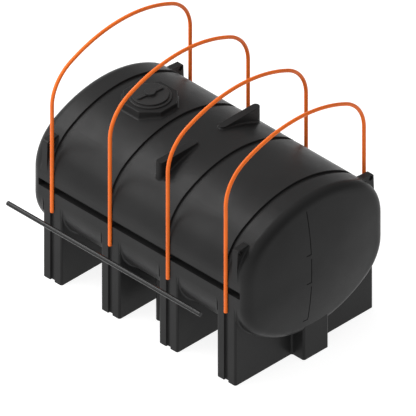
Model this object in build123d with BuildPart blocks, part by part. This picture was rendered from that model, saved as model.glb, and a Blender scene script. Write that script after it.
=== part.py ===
from build123d import *
import os
from math import atan2, cos, degrees, hypot, radians, sin, sqrt

# Horizontal leg tank for fresh water: one black moulded tank on four saddle legs,
# with four steel hoops that drop over it into grooves, and a steel bar along each side.
# The hoops stand lifted off, and the front bar stands pulled out of its channel.
# Frame: +X along the tank, -Y the side with the loose bar, +Z up, origin on the floor
# under the tank's centre. All sizes are in millimetres.

os.makedirs("parts", exist_ok=True)

# ---- Driving dimensions ----

# Tank cross-section: flat sides, a crowned top and a rounded belly, joined by corner arcs;
# each end turns in over a rolled rim, then rises as a shallow dome
rim_to_rim_length = 1918
tank_half_width = 610
crown_z = 1200
belly_z = 190
crown_radius = 880
shoulder_radius = 346
belly_radius = 797
bilge_radius = 313
rim_radius = 68
rim_angle = 76
rim_steps = 4
dome_height = 50
dome_shares = (0.92, 0.8, 0.64, 0.46, 0.26, 0.05)
wall = 10

# Legs and the rib between them
leg_pitch = 513
leg_thickness = 165
leg_edge_radius = 15
leg_flare_radius = 14
rib_thickness = 55
rib_end_centre_y = 421

# Hoop grooves, over the crown and down the sides to the floor
groove_width = 36
groove_depth = 15
groove_lip_radius = 5
groove_lip_lift = 0.5
groove_floor_radius = 4
groove_foot_z = 470

# Side channels
channel_length = 1784
channel_height = 53
channel_depth = 46
channel_z = 706
channel_corner_radius = 8

# Steelwork
hoop_rod = 25.4
hoop_crown_radius = 1042
hoop_corner_radius = 285
hoop_half_span = 612
hoop_apex_z = 1697
hoop_end_z = 527
hoop_end_chamfer = 2
bar_diameter = 31.75
bar_length = 1712
bar_z = 707
front_bar_y = -919
rear_bar_gap = 1.0

# Manway
manway_x = -leg_pitch
boss_across_flats = 338
boss_top_z = 1235
boss_taper = 6
boss_corner_radius = 10
boss_top_radius = 6
boss_foot_radius = 15
neck_radius = 112
collar_radius = 139
collar_height = 10
collar_bore_radius = 104
collar_neck_length = 60
gasket_height = 3
lid_radius = 119
lid_height = 9
lid_skirt_radius = 102.5
lid_skirt_depth = 34
handle_length = 205
handle_width = 26
handle_height = 12
handle_angle = 82.5
handle_edge_radius = 4
hub_radius = 34
vent_shaft_radius = 12
vent_clearance = 1
vent_cap_radius = 36
vent_cap_height = 8

# Mouldings on the shell
lug_thickness = 45
lug_centre_x = 842
lug_top_z = 1031
lug_foot_z = 800
lug_top_rise = 10
lug_outer_y = 602
lug_inner_y = 497
lug_corner_radius = 14
lug_flare_radius = 10
lug_hole_radius = 17
lug_hole_y = 577
lug_hole_z = 1009
fin_top_z = 1210
fin_inner_y = 105
fin_foot_radius = 12
fin_top_radius = 3
sump_length = 107
sump_width = 220
level_line_y = -87
level_line_runs = ((1132, 825), (792, 612), (580, 314))
level_line_width = 7
level_line_depth = 4
level_line_tick = 40

# Outlet: a two-inch bulkhead fitting through the rear sump's end wall
outlet_z = 78
outlet_bore_radius = 26
outlet_thread_radius = 35
outlet_flange_radius = 54
outlet_flange_thickness = 14
outlet_hex_across_flats = 84
outlet_hex_length = 16
outlet_gasket_thickness = 4
outlet_nut_across_flats = 92
outlet_nut_length = 20
outlet_thread_length = 46
outlet_hole_clearance = 1

# ---- Derived places ----

half_length = rim_to_rim_length / 2
middle_z = (crown_z + belly_z) / 2
crown_centre = (0, crown_z - crown_radius)
belly_centre = (0, belly_z + belly_radius)
shoulder_y = tank_half_width - shoulder_radius
shoulder_z = crown_centre[1] + sqrt((crown_radius - shoulder_radius) ** 2 - shoulder_y**2)
bilge_y = tank_half_width - bilge_radius
bilge_z = belly_centre[1] - sqrt((belly_radius - bilge_radius) ** 2 - bilge_y**2)
shoulder_angle = degrees(atan2(shoulder_z - crown_centre[1], shoulder_y))
bilge_angle = degrees(atan2(belly_centre[1] - bilge_z, bilge_y))
stations = [(i - 1.5) * leg_pitch for i in range(4)]
sump_centre_x = half_length - sump_length / 2
foot_block_height = 2 * belly_z
lug_places = [(sx, sy) for sx in (-1, 1) for sy in (-1, 1)]


def save(part, name):
    """Labels one finished piece and writes it as its own STEP file."""
    part.label = name
    export_step(part, f"parts/{name}.step")


def on_arc(centre, radius, angle):
    """The point at an angle in degrees on a circle in the cross-section."""
    return (centre[0] + radius * cos(radians(angle)), centre[1] + radius * sin(radians(angle)))


def outlet_plane(x):
    """A plane across the outlet's axis, facing out of the tank's rear end."""
    return Plane(origin=(x, 0, outlet_z), x_dir=(0, -1, 0), z_dir=(-1, 0, 0))


# ---- Cross-section and the tools that shape the shell ----


def tank_section(inset, share=1):
    """The tank's cross-section (Y to the right, Z up), moved inwards, then shrunk to a share."""

    def placed(point):
        return (share * point[0], middle_z + share * (point[1] - middle_z))

    side = tank_half_width - inset
    top = placed(on_arc(crown_centre, crown_radius - inset, 90))
    top_end = placed(on_arc(crown_centre, crown_radius - inset, shoulder_angle))
    middle = placed(on_arc((shoulder_y, shoulder_z), shoulder_radius - inset, shoulder_angle / 2))
    side_top = placed((side, shoulder_z))
    side_end = placed((side, bilge_z))
    lower_middle = placed(on_arc((bilge_y, bilge_z), bilge_radius - inset, -bilge_angle / 2))
    belly_end = placed(on_arc(belly_centre, belly_radius - inset, -bilge_angle))
    bottom = placed(on_arc(belly_centre, belly_radius - inset, -90))
    with BuildSketch() as section:
        with BuildLine():
            RadiusArc(top, top_end, share * (crown_radius - inset))
            ThreePointArc(top_end, middle, side_top)
            Line(side_top, side_end)
            ThreePointArc(side_end, lower_middle, belly_end)
            RadiusArc(belly_end, bottom, share * (belly_radius - inset))
            Line(bottom, top)
        make_face()
        mirror(about=Plane.YZ)
    return section.sketch


def end_cap(inset, half):
    """The end past the straight run: a rolled rim of one radius, then a dome over the rest."""
    radius = rim_radius - inset
    straight = half - radius
    angles = [radians(step * rim_angle / rim_steps) for step in range(rim_steps + 1)]
    rim_inset = inset + radius * (1 - cos(angles[-1]))
    rim_x = straight + radius * sin(angles[-1])
    with BuildPart() as cap:
        for angle in angles:
            with BuildSketch(Plane.YZ.offset(straight + radius * sin(angle))):
                add(tank_section(inset + radius * (1 - cos(angle))))
        for share in dome_shares:
            with BuildSketch(Plane.YZ.offset(rim_x + dome_height * (1 - share**2))):
                add(tank_section(rim_inset, share))
        loft()
    return cap.part


def section_block(inset, half):
    """The section run along the tank, centred, with an end cap at either end."""
    cap = end_cap(inset, half)
    with BuildPart() as block:
        with BuildSketch(Plane.YZ):
            add(tank_section(inset))
        extrude(amount=half - (rim_radius - inset), both=True)
        add(cap)
        add(mirror(cap, about=Plane.YZ))
    return block.part


def revolved_along_section(profile, centre, radius, start, sweep_angle):
    """A profile (X along the tank, Y outwards from the surface) turned about an arc's centre."""
    outward = on_arc((0, 0), 1, start)
    origin = (0, centre[0] + radius * outward[0], centre[1] + radius * outward[1])
    plane = Plane(origin=origin, x_dir=(1, 0, 0), z_dir=(0, -outward[1], outward[0]))
    with BuildPart() as ring:
        with BuildSketch(plane):
            add(profile)
        revolve(axis=Axis((0, centre[0], centre[1]), (1, 0, 0)), revolution_arc=sweep_angle)
    return ring.part


def groove_profile():
    """The groove across its run: surface at Y 0, rounded lips, floor at -depth."""
    half = groove_width / 2
    lip = groove_lip_radius
    lip_top = groove_lip_lift
    toe = groove_floor_radius
    rise = 30
    with BuildSketch() as profile:
        with BuildLine():
            Line((0, rise), (half + lip, rise))
            Line((half + lip, rise), (half + lip, lip_top))
            RadiusArc((half + lip, lip_top), (half, lip_top - lip), -lip)
            Line((half, lip_top - lip), (half, toe - groove_depth))
            RadiusArc((half, toe - groove_depth), (half - toe, -groove_depth), toe)
            Line((half - toe, -groove_depth), (0, -groove_depth))
            Line((0, -groove_depth), (0, rise))
        make_face()
        mirror(about=Plane.YZ)
    return profile.sketch


def groove_tool():
    """What one hoop groove takes away, at X 0: over the crown and down both sides."""
    corner = shoulder_angle
    with BuildPart() as tool:
        add(revolved_along_section(groove_profile(), crown_centre, crown_radius,
                                   corner, 180 - 2 * corner))
        add(revolved_along_section(groove_profile(), (shoulder_y, shoulder_z),
                                   shoulder_radius, 0, corner))
        with BuildSketch(Plane.XY.offset(-1)):
            with Locations((0, tank_half_width)):
                add(groove_profile())
        extrude(amount=shoulder_z + 1)
        mirror(about=Plane.XZ)
    return tool.part


def flare_profile(radius):
    """A concave fillet between the shell (Y 0) and a face at X 0, with some overlap behind."""
    lap = 4
    with BuildSketch() as profile:
        with BuildLine():
            Polyline((0, radius), (-lap, radius), (-lap, -lap), (radius, -lap), (radius, 0))
            RadiusArc((radius, 0), (0, radius), radius)
        make_face()
    return profile.sketch


def belly_flare(radius):
    """The fillet where an upright face at X 0, facing +X, meets the belly."""
    profile = flare_profile(radius)
    with BuildPart() as flare:
        add(revolved_along_section(profile, belly_centre, belly_radius,
                                   bilge_angle - 180, 180 - 2 * bilge_angle))
        add(revolved_along_section(profile, (bilge_y, bilge_z), bilge_radius,
                                   -bilge_angle, bilge_angle))
        add(revolved_along_section(profile, (-bilge_y, bilge_z), bilge_radius,
                                   180, bilge_angle))
    return flare.part


# ---- Tank shell ----


def water_space():
    """The hollow inside: the tank, its legs, its centre rib and its two sumps, all one space."""
    inset = groove_depth + wall
    rib_width = groove_width + 2 * groove_lip_radius + 2 * wall
    relief_planes = [Plane.YZ.offset(x - rib_width / 2) for x in stations]
    with BuildPart() as space:
        add(section_block(wall, half_length - wall))
        with BuildSketch(*relief_planes):
            with Locations((0, shoulder_z)):
                Rectangle(3 * tank_half_width, 2 * tank_half_width)
            add(tank_section(inset), mode=Mode.SUBTRACT)
            with Locations((0, groove_foot_z)):
                Rectangle(2 * (tank_half_width - inset), 2 * (bilge_z - groove_foot_z),
                          mode=Mode.SUBTRACT)
        extrude(amount=rib_width, mode=Mode.SUBTRACT)
        with Locations((0, tank_half_width, channel_z), (0, -tank_half_width, channel_z)):
            Box(channel_length + 2 * wall, 2 * (channel_depth + wall), channel_height + 2 * wall,
                mode=Mode.SUBTRACT)
        with BuildSketch(Plane.XY.offset(wall)):
            with Locations(*[(x, 0) for x in stations]):
                Rectangle(leg_thickness - 2 * wall, 2 * (tank_half_width - inset))
        extrude(amount=bilge_z - wall)
        with BuildSketch(Plane.XY.offset(wall)):
            SlotCenterToCenter(2 * rib_end_centre_y, rib_thickness - 2 * wall, rotation=90)
            with Locations((sump_centre_x, 0), (-sump_centre_x, 0)):
                Rectangle(sump_length - 2 * wall, sump_width - 2 * wall)
        extrude(amount=foot_block_height - wall)
    return space.part


def channel_tool():
    """One side channel: a long recess with rounded ends, centred on the side plane."""
    with BuildPart() as tool:
        Box(channel_length, 2 * channel_depth, channel_height)
        fillet(tool.edges().filter_by(Axis.Y), channel_corner_radius)
    return tool.part


def level_line():
    """The sight line down the end: three upright runs, each ending in a short tick."""
    with BuildPart() as line:
        with BuildSketch(Plane.YZ.offset(half_length - rim_radius)):
            for top, end in level_line_runs:
                with BuildLine():
                    Line((level_line_y, top), (level_line_y, end))
                    Line((level_line_y, end), (level_line_y - level_line_tick, end))
                trace(line_width=level_line_width)
        extrude(amount=2 * rim_radius)
        with Locations((-level_line_depth, 0, 0)):
            add(shell_block, mode=Mode.SUBTRACT)
    return line.part


shell_block = section_block(0, half_length)
groove = groove_tool()
water = water_space()

with BuildPart() as tank_shell:
    add(shell_block)
    with Locations(*[(x, 0, 0) for x in stations]):
        add(groove, mode=Mode.SUBTRACT)
    add(water, mode=Mode.SUBTRACT)
    with Locations((0, tank_half_width, channel_z), (0, -tank_half_width, channel_z)):
        add(channel_tool(), mode=Mode.SUBTRACT)
    add(level_line(), mode=Mode.SUBTRACT)
    with Locations((manway_x, 0, crown_z)):
        Cylinder(neck_radius, 8 * wall, mode=Mode.SUBTRACT)
save(tank_shell.part, "tank_shell")

# ---- Legs, centre rib and end sumps ----

flare = belly_flare(leg_flare_radius)
flare_left = mirror(flare, about=Plane.YZ)
legs = []

for number, x in enumerate(stations, start=1):
    with BuildPart() as leg:
        with BuildSketch():
            with Locations((x, 0)):
                Rectangle(leg_thickness, 2 * tank_half_width)
        extrude(amount=bilge_z)
        fillet(leg.edges().filter_by(Axis.Z), leg_edge_radius)
        with Locations((x + leg_thickness / 2, 0, 0)):
            add(flare)
        with Locations((x - leg_thickness / 2, 0, 0)):
            add(flare_left)
        with Locations((x, 0, 0)):
            Box(2 * leg_thickness, 2 * tank_half_width, 2 * bilge_z, mode=Mode.INTERSECT)
            add(groove, mode=Mode.SUBTRACT)
        add(shell_block, mode=Mode.SUBTRACT)
        add(water, mode=Mode.SUBTRACT)
    save(leg.part, f"leg_{number}")
    legs.append(leg.part)

with BuildPart() as centre_rib:
    with BuildSketch():
        SlotCenterToCenter(2 * rib_end_centre_y, rib_thickness, rotation=90)
    extrude(amount=foot_block_height)
    add(shell_block, mode=Mode.SUBTRACT)
    add(water, mode=Mode.SUBTRACT)
save(centre_rib.part, "centre_rib")

for name, side, neighbour in (("end_sump_front", 1, legs[3]), ("end_sump_rear", -1, legs[0])):
    with BuildPart() as sump:
        with BuildSketch() as footprint:
            with Locations((side * sump_centre_x, 0)):
                Rectangle(sump_length, sump_width)
            with Locations((side * stations[3], 0)):
                Rectangle(leg_thickness, 2 * tank_half_width)
                inner_corners = footprint.vertices().filter_by(
                    lambda v: abs(v.Y) < sump_width and abs(v.X) < half_length - 1
                )
                fillet(inner_corners, leg_edge_radius)
                Rectangle(leg_thickness, 2 * tank_half_width, mode=Mode.SUBTRACT)
        extrude(amount=belly_z + rim_radius)
        outer_face = sump.faces().sort_by(Axis.X)[-1 if side > 0 else 0]
        fillet(outer_face.edges().filter_by(Axis.Z), leg_edge_radius)
        add(shell_block, mode=Mode.SUBTRACT)
        add(water, mode=Mode.SUBTRACT)
        add(neighbour, mode=Mode.SUBTRACT)
        if side < 0:
            with BuildSketch(outlet_plane(-half_length)):
                Circle(outlet_thread_radius + outlet_hole_clearance)
            extrude(amount=-2 * wall, mode=Mode.SUBTRACT)
    save(sump.part, name)

# ---- Lifting lugs and top fins ----


def lug_outline(side):
    """One lug seen from the tank's end: upright outside, flat top, run into the shoulder."""
    with BuildSketch() as outline:
        with BuildLine():
            Polyline((side * lug_inner_y, lug_top_z + lug_top_rise), (side * lug_outer_y, lug_top_z),
                     (side * tank_half_width, lug_foot_z), (side * lug_inner_y, shoulder_z),
                     close=True)
        make_face()
        fillet(outline.vertices().filter_by(lambda v: v.Y > lug_hole_z), lug_corner_radius)
    return outline.sketch


def shoulder_flare(x, side_x, side_y):
    """The fillet where a lug's face at x, facing side_x, meets the shoulder."""
    profile = flare_profile(lug_flare_radius)
    if side_x < 0:
        profile = mirror(profile, about=Plane.YZ)
    start = 0 if side_y > 0 else 180 - shoulder_angle
    ring = revolved_along_section(profile, (side_y * shoulder_y, shoulder_z), shoulder_radius,
                                  start, shoulder_angle)
    with BuildPart() as flare_part:
        with Locations((x, 0, 0)):
            add(ring)
        with BuildSketch(Plane.YZ.offset(x - lug_thickness)):
            add(lug_outline(side_y))
        extrude(amount=2 * lug_thickness, mode=Mode.INTERSECT)
    return flare_part.part


for number, (side_x, side_y) in enumerate(lug_places, start=1):
    lug_x = side_x * lug_centre_x
    with BuildPart() as lug:
        with BuildSketch(Plane.YZ.offset(lug_x - lug_thickness / 2)):
            add(lug_outline(side_y))
        extrude(amount=lug_thickness)
        for face_side in (-1, 1):
            add(shoulder_flare(lug_x + face_side * lug_thickness / 2, face_side, side_y))
        with BuildSketch(Plane.YZ.offset(lug_x - lug_thickness)):
            with Locations((side_y * lug_hole_y, lug_hole_z)):
                Circle(lug_hole_radius)
        extrude(amount=2 * lug_thickness, mode=Mode.SUBTRACT)
        add(shell_block, mode=Mode.SUBTRACT)
    save(lug.part, f"lifting_lug_{number}")

for name, side in (("top_fin_front", -1), ("top_fin_rear", 1)):
    fin_length = rib_end_centre_y - fin_inner_y - rib_thickness / 2
    fin_centre = side * (rib_end_centre_y - fin_length / 2)
    with BuildPart() as fin:
        add(shell_block)
        with BuildSketch(Plane.XY.offset(shoulder_z)):
            with Locations((0, fin_centre)):
                SlotCenterToCenter(fin_length, rib_thickness, rotation=90)
        extrude(amount=fin_top_z - shoulder_z)
        foot = fin.edges(Select.LAST).filter_by(
            lambda e: e.center().Z < fin_top_z - 1 and abs(e.tangent_at(0.5).Z) < 0.95
        )
        fillet(foot, fin_foot_radius)
        fillet(fin.faces().sort_by(Axis.Z)[-1].edges(), fin_top_radius)
        add(shell_block, mode=Mode.SUBTRACT)
    save(fin.part, name)

# ---- Manway ----

with BuildPart() as manway_boss:
    add(shell_block)
    with BuildSketch(Plane.XY.offset(boss_top_z)):
        with Locations((manway_x, 0)):
            RegularPolygon(boss_across_flats / 2, 8, major_radius=False, rotation=22.5)
    extrude(amount=-2 * (boss_top_z - crown_z), taper=-boss_taper)
    corners = manway_boss.edges(Select.LAST).filter_by(lambda e: abs(e.tangent_at(0.5).Z) > 0.8)
    fillet(corners, boss_corner_radius)
    foot = manway_boss.edges().filter_by(
        lambda e: e.center().Z < boss_top_z - 1
        and abs(e.tangent_at(0.5).Z) < 0.9
        and hypot(e.center().X - manway_x, e.center().Y) < 0.6 * boss_across_flats
    )
    fillet(foot, boss_foot_radius)
    fillet(manway_boss.faces().sort_by(Axis.Z)[-1].edges(), boss_top_radius)
    add(shell_block, mode=Mode.SUBTRACT)
    with Locations((manway_x, 0, crown_z)):
        Cylinder(neck_radius, 4 * (boss_top_z - crown_z), mode=Mode.SUBTRACT)
save(manway_boss.part, "manway_boss")

with BuildPart() as lid_collar:
    with BuildSketch(Plane.XY.offset(boss_top_z)):
        with Locations((manway_x, 0)):
            Circle(collar_radius)
            Circle(collar_bore_radius, mode=Mode.SUBTRACT)
    extrude(amount=collar_height)
    top_rim = lid_collar.edges().group_by(Axis.Z)[-1].sort_by(SortBy.RADIUS)[-1]
    fillet(top_rim, collar_height / 2)
    with BuildSketch(Plane.XY.offset(boss_top_z)):
        with Locations((manway_x, 0)):
            Circle(neck_radius)
            Circle(collar_bore_radius, mode=Mode.SUBTRACT)
    extrude(amount=-collar_neck_length)
save(lid_collar.part, "lid_collar")

gasket_z = boss_top_z + collar_height
lid_z = gasket_z + gasket_height
lid_top_z = lid_z + lid_height
handle_top_z = lid_top_z + handle_height

with BuildPart() as lid_gasket:
    with BuildSketch(Plane.XY.offset(gasket_z)):
        with Locations((manway_x, 0)):
            Circle(lid_radius - gasket_height)
            Circle(collar_bore_radius, mode=Mode.SUBTRACT)
    extrude(amount=gasket_height)
save(lid_gasket.part, "lid_gasket")

with BuildPart() as lid:
    with BuildSketch(Plane.XY.offset(lid_z)):
        with Locations((manway_x, 0)):
            Circle(lid_radius)
    extrude(amount=lid_height)
    fillet(lid.edges().group_by(Axis.Z)[-1], lid_height / 3)
    with BuildSketch(Plane.XY.offset(lid_z)):
        with Locations((manway_x, 0)):
            Circle(lid_skirt_radius)
            Circle(lid_skirt_radius - wall, mode=Mode.SUBTRACT)
    extrude(amount=-lid_skirt_depth)
    with BuildSketch(Plane.XY.offset(lid_top_z)):
        with Locations((manway_x, 0)):
            SlotOverall(handle_length, handle_width, rotation=handle_angle)
            Circle(hub_radius)
    extrude(amount=handle_height)
    fillet(lid.faces().sort_by(Axis.Z)[-1].edges(), handle_edge_radius)
    with Locations((manway_x, 0, lid_top_z)):
        Cylinder(vent_shaft_radius + vent_clearance, 4 * handle_height, mode=Mode.SUBTRACT)
save(lid.part, "lid")

with BuildPart() as vent_cap:
    with BuildSketch(Plane.XY.offset(handle_top_z)):
        with Locations((manway_x, 0)):
            Circle(vent_cap_radius)
    extrude(amount=vent_cap_height)
    fillet(vent_cap.edges().group_by(Axis.Z)[-1], vent_cap_height / 3)
    with BuildSketch(Plane.XY.offset(handle_top_z)):
        with Locations((manway_x, 0)):
            Circle(vent_shaft_radius)
    extrude(amount=-(lid_height + handle_height))
save(vent_cap.part, "vent_cap")

# ---- Hoops ----

hoop_corner_y = hoop_half_span - hoop_corner_radius
hoop_centre_z = hoop_apex_z - hoop_crown_radius
hoop_corner_z = hoop_centre_z + sqrt(
    (hoop_crown_radius - hoop_corner_radius) ** 2 - hoop_corner_y**2
)
hoop_angle = degrees(atan2(hoop_corner_z - hoop_centre_z, hoop_corner_y))


def hoop_path(x):
    """Half of a hoop's centreline, from its crown down to its end, in the plane at x."""
    joint = on_arc((0, hoop_centre_z), hoop_crown_radius, hoop_angle)
    middle = on_arc((hoop_corner_y, hoop_corner_z), hoop_corner_radius, hoop_angle / 2)
    with BuildLine(Plane.YZ.offset(x)) as path:
        RadiusArc((0, hoop_apex_z), joint, hoop_crown_radius)
        ThreePointArc(joint, middle, (hoop_half_span, hoop_corner_z))
        Line((hoop_half_span, hoop_corner_z), (hoop_half_span, hoop_end_z))
    return path.line


for number, x in enumerate(stations, start=1):
    with BuildPart() as hoop:
        with BuildSketch(Plane(origin=(x, 0, hoop_apex_z), z_dir=(0, 1, 0))):
            Circle(hoop_rod / 2)
        sweep(path=hoop_path(x))
        chamfer(hoop.faces().sort_by(Axis.Z)[0].edges(), hoop_end_chamfer)
        mirror(about=Plane.XZ)
    save(hoop.part, f"hoop_{number}")

# ---- Side bars ----

rear_bar_y = tank_half_width - channel_depth + bar_diameter / 2 + rear_bar_gap

for name, y in (("side_bar_front", front_bar_y), ("side_bar_rear", rear_bar_y)):
    with BuildPart() as bar:
        with BuildSketch(Plane.YZ.offset(-bar_length / 2)):
            with Locations((y, bar_z)):
                Circle(bar_diameter / 2)
        extrude(amount=bar_length)
        chamfer(bar.faces().filter_by(Axis.X).edges(), hoop_end_chamfer)
    save(bar.part, name)

# ---- Outlet fitting, in the rear sump ----


wall_face = outlet_plane(-half_length)
flange_face = outlet_plane(-half_length - outlet_gasket_thickness)

with BuildPart() as outlet_gasket:
    with BuildSketch(wall_face):
        Circle(outlet_flange_radius - 2)
        Circle(outlet_thread_radius + outlet_hole_clearance, mode=Mode.SUBTRACT)
    extrude(amount=outlet_gasket_thickness)
save(outlet_gasket.part, "outlet_gasket")

with BuildPart() as outlet_fitting:
    with BuildSketch(flange_face):
        Circle(outlet_flange_radius)
    extrude(amount=outlet_flange_thickness)
    with BuildSketch(flange_face.offset(outlet_flange_thickness)):
        RegularPolygon(outlet_hex_across_flats / 2, 6, major_radius=False)
    extrude(amount=outlet_hex_length)
    with BuildSketch(flange_face):
        Circle(outlet_thread_radius)
    extrude(amount=-outlet_thread_length)
    with BuildSketch(flange_face.offset(outlet_flange_thickness + outlet_hex_length)):
        Circle(outlet_bore_radius)
    extrude(amount=-2 * outlet_thread_length, mode=Mode.SUBTRACT)
save(outlet_fitting.part, "outlet_fitting")

with BuildPart() as outlet_nut:
    with BuildSketch(outlet_plane(-half_length + wall)):
        RegularPolygon(outlet_nut_across_flats / 2, 6, major_radius=False)
        Circle(outlet_thread_radius, mode=Mode.SUBTRACT)
    extrude(amount=-outlet_nut_length)
save(outlet_nut.part, "outlet_nut")
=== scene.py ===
import math

import bpy
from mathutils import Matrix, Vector

# Horizontal leg tank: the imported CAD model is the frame, and this script gives it its looks.
# Units are metres. +X runs along the tank, -Y is the side with the loose bar, +Z is up.

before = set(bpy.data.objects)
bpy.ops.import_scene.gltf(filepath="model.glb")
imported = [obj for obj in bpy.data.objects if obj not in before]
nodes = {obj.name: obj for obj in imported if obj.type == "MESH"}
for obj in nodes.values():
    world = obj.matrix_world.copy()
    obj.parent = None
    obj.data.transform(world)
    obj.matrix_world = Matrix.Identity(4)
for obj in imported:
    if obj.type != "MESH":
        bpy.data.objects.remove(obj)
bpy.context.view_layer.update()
scene = bpy.context.scene

LEGS = [f"leg_{i}" for i in range(1, 5)]
LUGS = [f"lifting_lug_{i}" for i in range(1, 5)]
HOOPS = [f"hoop_{i}" for i in range(1, 5)]

# ---- Camera: isometric, orthographic, aimed a little below the tank's middle ----

CAMERA_AZIMUTH = math.radians(45)
CAMERA_ELEVATION = math.radians(35.264)
CAMERA_DISTANCE = 12.0
CAMERA_REACH = 100
VIEW_WIDTH = 2.605
AIM_HEIGHT = 0.637


def make_camera():
    data = bpy.data.cameras.new("camera")
    data.type = "ORTHO"
    data.ortho_scale = VIEW_WIDTH
    data.clip_end = CAMERA_REACH
    camera = bpy.data.objects.new("camera", data)
    scene.collection.objects.link(camera)
    back = Vector((
        math.sin(CAMERA_AZIMUTH) * math.cos(CAMERA_ELEVATION),
        -math.cos(CAMERA_AZIMUTH) * math.cos(CAMERA_ELEVATION),
        math.sin(CAMERA_ELEVATION),
    ))
    camera.location = Vector((0, 0, AIM_HEIGHT)) + CAMERA_DISTANCE * back
    camera.rotation_euler = (-back).to_track_quat("-Z", "Y").to_euler()
    scene.camera = camera


# ---- Material nodes ----


def new_material(name):
    """A new node material: returns it, its nodes, its links and its Principled shader."""
    material = bpy.data.materials.new(name)
    material.use_nodes = True
    tree = material.node_tree
    shader = tree.nodes["Principled BSDF"]
    return material, tree.nodes, tree.links, shader


def noise(tree_nodes, links, coords, scale, detail, roughness=0.5):
    node = tree_nodes.new("ShaderNodeTexNoise")
    node.inputs["Scale"].default_value = scale
    node.inputs["Detail"].default_value = detail
    node.inputs["Roughness"].default_value = roughness
    links.new(coords, node.inputs["Vector"])
    return node.outputs["Fac"]


def ramp(tree_nodes, links, value, low, high, low_out, high_out):
    """Maps value from low..high to low_out..high_out, clamped."""
    node = tree_nodes.new("ShaderNodeMapRange")
    node.inputs["From Min"].default_value = low
    node.inputs["From Max"].default_value = high
    node.inputs["To Min"].default_value = low_out
    node.inputs["To Max"].default_value = high_out
    links.new(value, node.inputs["Value"])
    return node.outputs["Result"]


def mix_colour(tree_nodes, links, factor, first, second):
    """Mixes two colours, each a tuple or another node's output."""
    node = tree_nodes.new("ShaderNodeMix")
    node.data_type = "RGBA"
    links.new(factor, node.inputs["Factor"])
    for socket, colour in ((node.inputs["A"], first), (node.inputs["B"], second)):
        if isinstance(colour, tuple):
            socket.default_value = (*colour, 1)
        else:
            links.new(colour, socket)
    return node.outputs["Result"]


def bump(tree_nodes, links, height, distance, under=None):
    node = tree_nodes.new("ShaderNodeBump")
    node.inputs["Distance"].default_value = distance
    node.inputs["Strength"].default_value = 1.0
    links.new(height, node.inputs["Height"])
    if under is not None:
        links.new(under, node.inputs["Normal"])
    return node.outputs["Normal"]


def object_coords(tree_nodes):
    return tree_nodes.new("ShaderNodeTexCoord").outputs["Object"]


# ---- Materials: noise scales are in cycles per metre, bump depths in metres ----

CLOUD_SCALE = 2.2
SPECKLE_SCALE = 160
SPECKLE_SHARE = 0.35
SPECKLE_GAIN = 1.6
WEAR_SCALE = 7
WAVE_SCALE = 3.0
PLASTIC_DRIFT = 0.05

DRIFT_SCALE = 5
PATCH_SCALE = 30
PEEL_SCALE = 420
PEEL_DEPTH = 0.00025
STEEL_DRIFT = 0.06


def moulded_plastic(name, dark, light, roughness, grain, grain_depth, wave_depth, specular):
    """Black polyethylene: cloudy tone, a fine grain and slow waves from the mould."""
    material, tree_nodes, links, shader = new_material(name)
    coords = object_coords(tree_nodes)
    cloud = noise(tree_nodes, links, coords, CLOUD_SCALE, detail=4)
    speckle = noise(tree_nodes, links, coords, SPECKLE_SCALE, detail=2)
    tone = mix_colour(tree_nodes, links, ramp(tree_nodes, links, cloud, 0.35, 0.65, 0, 1), dark, light)
    flecked = mix_colour(
        tree_nodes, links, ramp(tree_nodes, links, speckle, 0.62, 0.8, 0, SPECKLE_SHARE), tone,
        tuple(SPECKLE_GAIN * c for c in light),
    )
    links.new(flecked, shader.inputs["Base Color"])
    wear = noise(tree_nodes, links, coords, WEAR_SCALE, detail=5, roughness=0.6)
    links.new(
        ramp(tree_nodes, links, wear, 0.3, 0.7, roughness - PLASTIC_DRIFT, roughness + PLASTIC_DRIFT),
        shader.inputs["Roughness"],
    )
    waves = bump(tree_nodes, links, noise(tree_nodes, links, coords, WAVE_SCALE, detail=1), wave_depth)
    fine = noise(tree_nodes, links, coords, grain, detail=2)
    links.new(bump(tree_nodes, links, fine, grain_depth, under=waves), shader.inputs["Normal"])
    shader.inputs["Specular IOR Level"].default_value = specular
    return material


def painted_steel(name, dark, light, roughness, specular):
    """Powder-coated steel: even colour with a faint drift, and orange peel on the surface."""
    material, tree_nodes, links, shader = new_material(name)
    coords = object_coords(tree_nodes)
    drift = noise(tree_nodes, links, coords, DRIFT_SCALE, detail=3)
    tone = mix_colour(tree_nodes, links, ramp(tree_nodes, links, drift, 0.35, 0.65, 0, 1), dark, light)
    links.new(tone, shader.inputs["Base Color"])
    patch = noise(tree_nodes, links, coords, PATCH_SCALE, detail=3)
    links.new(
        ramp(tree_nodes, links, patch, 0.3, 0.7, roughness - STEEL_DRIFT, roughness + STEEL_DRIFT),
        shader.inputs["Roughness"],
    )
    peel = noise(tree_nodes, links, coords, PEEL_SCALE, detail=1)
    links.new(bump(tree_nodes, links, peel, PEEL_DEPTH), shader.inputs["Normal"])
    shader.inputs["Specular IOR Level"].default_value = specular
    return material


def dress(material, *names):
    for name in names:
        slots = nodes[name].data.materials
        slots.clear()
        slots.append(material)


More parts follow.
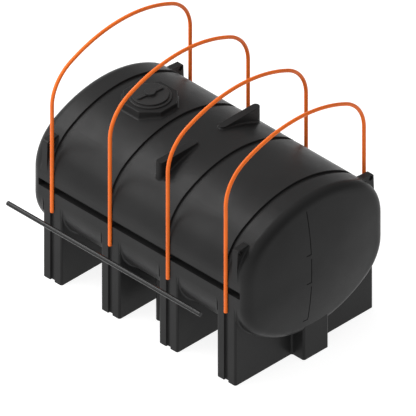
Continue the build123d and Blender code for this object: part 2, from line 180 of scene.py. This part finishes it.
def make_materials():
    tank_black = moulded_plastic(
        "tank_polyethylene", (0.013, 0.013, 0.0131), (0.017, 0.017, 0.0171),
        roughness=0.36, grain=300, grain_depth=0.0003, wave_depth=0.0015, specular=0.11,
    )
    lid_black = moulded_plastic(
        "lid_polyethylene", (0.025, 0.025, 0.0251), (0.029, 0.029, 0.0291),
        roughness=0.34, grain=900, grain_depth=0.0002, wave_depth=0.0003, specular=0.1,
    )
    fitting_black = moulded_plastic(
        "fitting_plastic", (0.008, 0.008, 0.0085), (0.012, 0.012, 0.0125),
        roughness=0.4, grain=1200, grain_depth=0.0001, wave_depth=0.0002, specular=0.45,
    )
    rubber = moulded_plastic(
        "gasket_rubber", (0.008, 0.008, 0.008), (0.012, 0.012, 0.012),
        roughness=0.75, grain=1500, grain_depth=0.0002, wave_depth=0.0002, specular=0.3,
    )
    orange = painted_steel(
        "hoop_orange", (0.72, 0.135, 0.016), (0.80, 0.155, 0.019), roughness=0.36, specular=0.15,
    )
    bar_black = painted_steel(
        "bar_black", (0.006, 0.006, 0.0062), (0.009, 0.009, 0.0092), roughness=0.24, specular=0.22,
    )
    dress(
        tank_black, "tank_shell", "centre_rib", "end_sump_front", "end_sump_rear",
        "top_fin_front", "top_fin_rear", "manway_boss", *LEGS, *LUGS,
    )
    dress(lid_black, "lid_collar", "lid", "vent_cap")
    dress(fitting_black, "outlet_fitting", "outlet_nut")
    dress(rubber, "lid_gasket", "outlet_gasket")
    dress(orange, *HOOPS)
    dress(bar_black, "side_bar_front", "side_bar_rear")


# ---- Floor: a pale sheet just under the feet ----

FLOOR_REACH = 40
FLOOR_DROP = 0.001
FLOOR_TONE = 0.35
FLOOR_GLOW = 0.86


def floor_material():
    material, _, _, shader = new_material("pale_floor")
    shader.inputs["Base Color"].default_value = (FLOOR_TONE, FLOOR_TONE, FLOOR_TONE, 1)
    shader.inputs["Roughness"].default_value = 0.9
    shader.inputs["Specular IOR Level"].default_value = 0.0
    shader.inputs["Emission Color"].default_value = (1, 1, 1, 1)
    shader.inputs["Emission Strength"].default_value = FLOOR_GLOW
    return material


def make_floor():
    corners = [
        (x * FLOOR_REACH, y * FLOOR_REACH, 0) for x, y in ((-1, -1), (1, -1), (1, 1), (-1, 1))
    ]
    mesh = bpy.data.meshes.new("floor")
    mesh.from_pydata(corners, [], [(0, 1, 2, 3)])
    mesh.materials.append(floor_material())
    floor = bpy.data.objects.new("floor", mesh)
    scene.collection.objects.link(floor)
    floor.location.z = -FLOOR_DROP


# ---- Light: a pale studio, brighter to the front left and overhead, with a glow at the horizon ----

BRIGHT_SIDE = Vector((-0.45, -0.6, 0.66))
SKY_RANGE = (0.25, 1.0)
HORIZON_GLOW = 0.4
HORIZON_TOP = 0.25

LIGHT_AIM = (0, 0, 0.7)
# name: place, side of the square, watts
LIGHTS = {
    "key": ((-4.2, -1.4, 6.5), 3, 220),
    "side": ((-4.6, -5.1, 4.7), 5, 250),
    "top": ((0, 0, 6), 4, 20),
}


def area_light(name, place, side, watts):
    """A square area light aimed at the tank's middle."""
    data = bpy.data.lights.new(name, "AREA")
    data.shape = "RECTANGLE"
    data.size = data.size_y = side
    data.energy = watts
    light = bpy.data.objects.new(name, data)
    scene.collection.objects.link(light)
    light.location = place
    light.rotation_euler = (Vector(LIGHT_AIM) - Vector(place)).to_track_quat("-Z", "Y").to_euler()


def make_world():
    world = bpy.data.worlds.new("studio")
    scene.world = world
    world.use_nodes = True
    world_nodes = world.node_tree.nodes
    links = world.node_tree.links
    background = world_nodes["Background"]
    background.inputs["Color"].default_value = (1, 1, 1, 1)
    facing = world_nodes.new("ShaderNodeVectorMath")
    facing.operation = "DOT_PRODUCT"
    facing.inputs[1].default_value = BRIGHT_SIDE.normalized()
    direction = world_nodes.new("ShaderNodeTexCoord").outputs["Generated"]
    links.new(direction, facing.inputs[0])
    sky = ramp(world_nodes, links, facing.outputs["Value"], -0.2, 0.9, *SKY_RANGE)
    height = world_nodes.new("ShaderNodeSeparateXYZ")
    links.new(direction, height.inputs["Vector"])
    glow = ramp(world_nodes, links, height.outputs["Z"], 0, HORIZON_TOP, HORIZON_GLOW, 0)
    total = world_nodes.new("ShaderNodeMath")
    links.new(sky, total.inputs[0])
    links.new(glow, total.inputs[1])
    links.new(total.outputs["Value"], background.inputs["Strength"])


make_camera()
make_materials()
make_floor()
make_world()
for light_name, (place, side, watts) in LIGHTS.items():
    area_light(light_name, place, side, watts)
scene.view_settings.view_transform = "Standard"
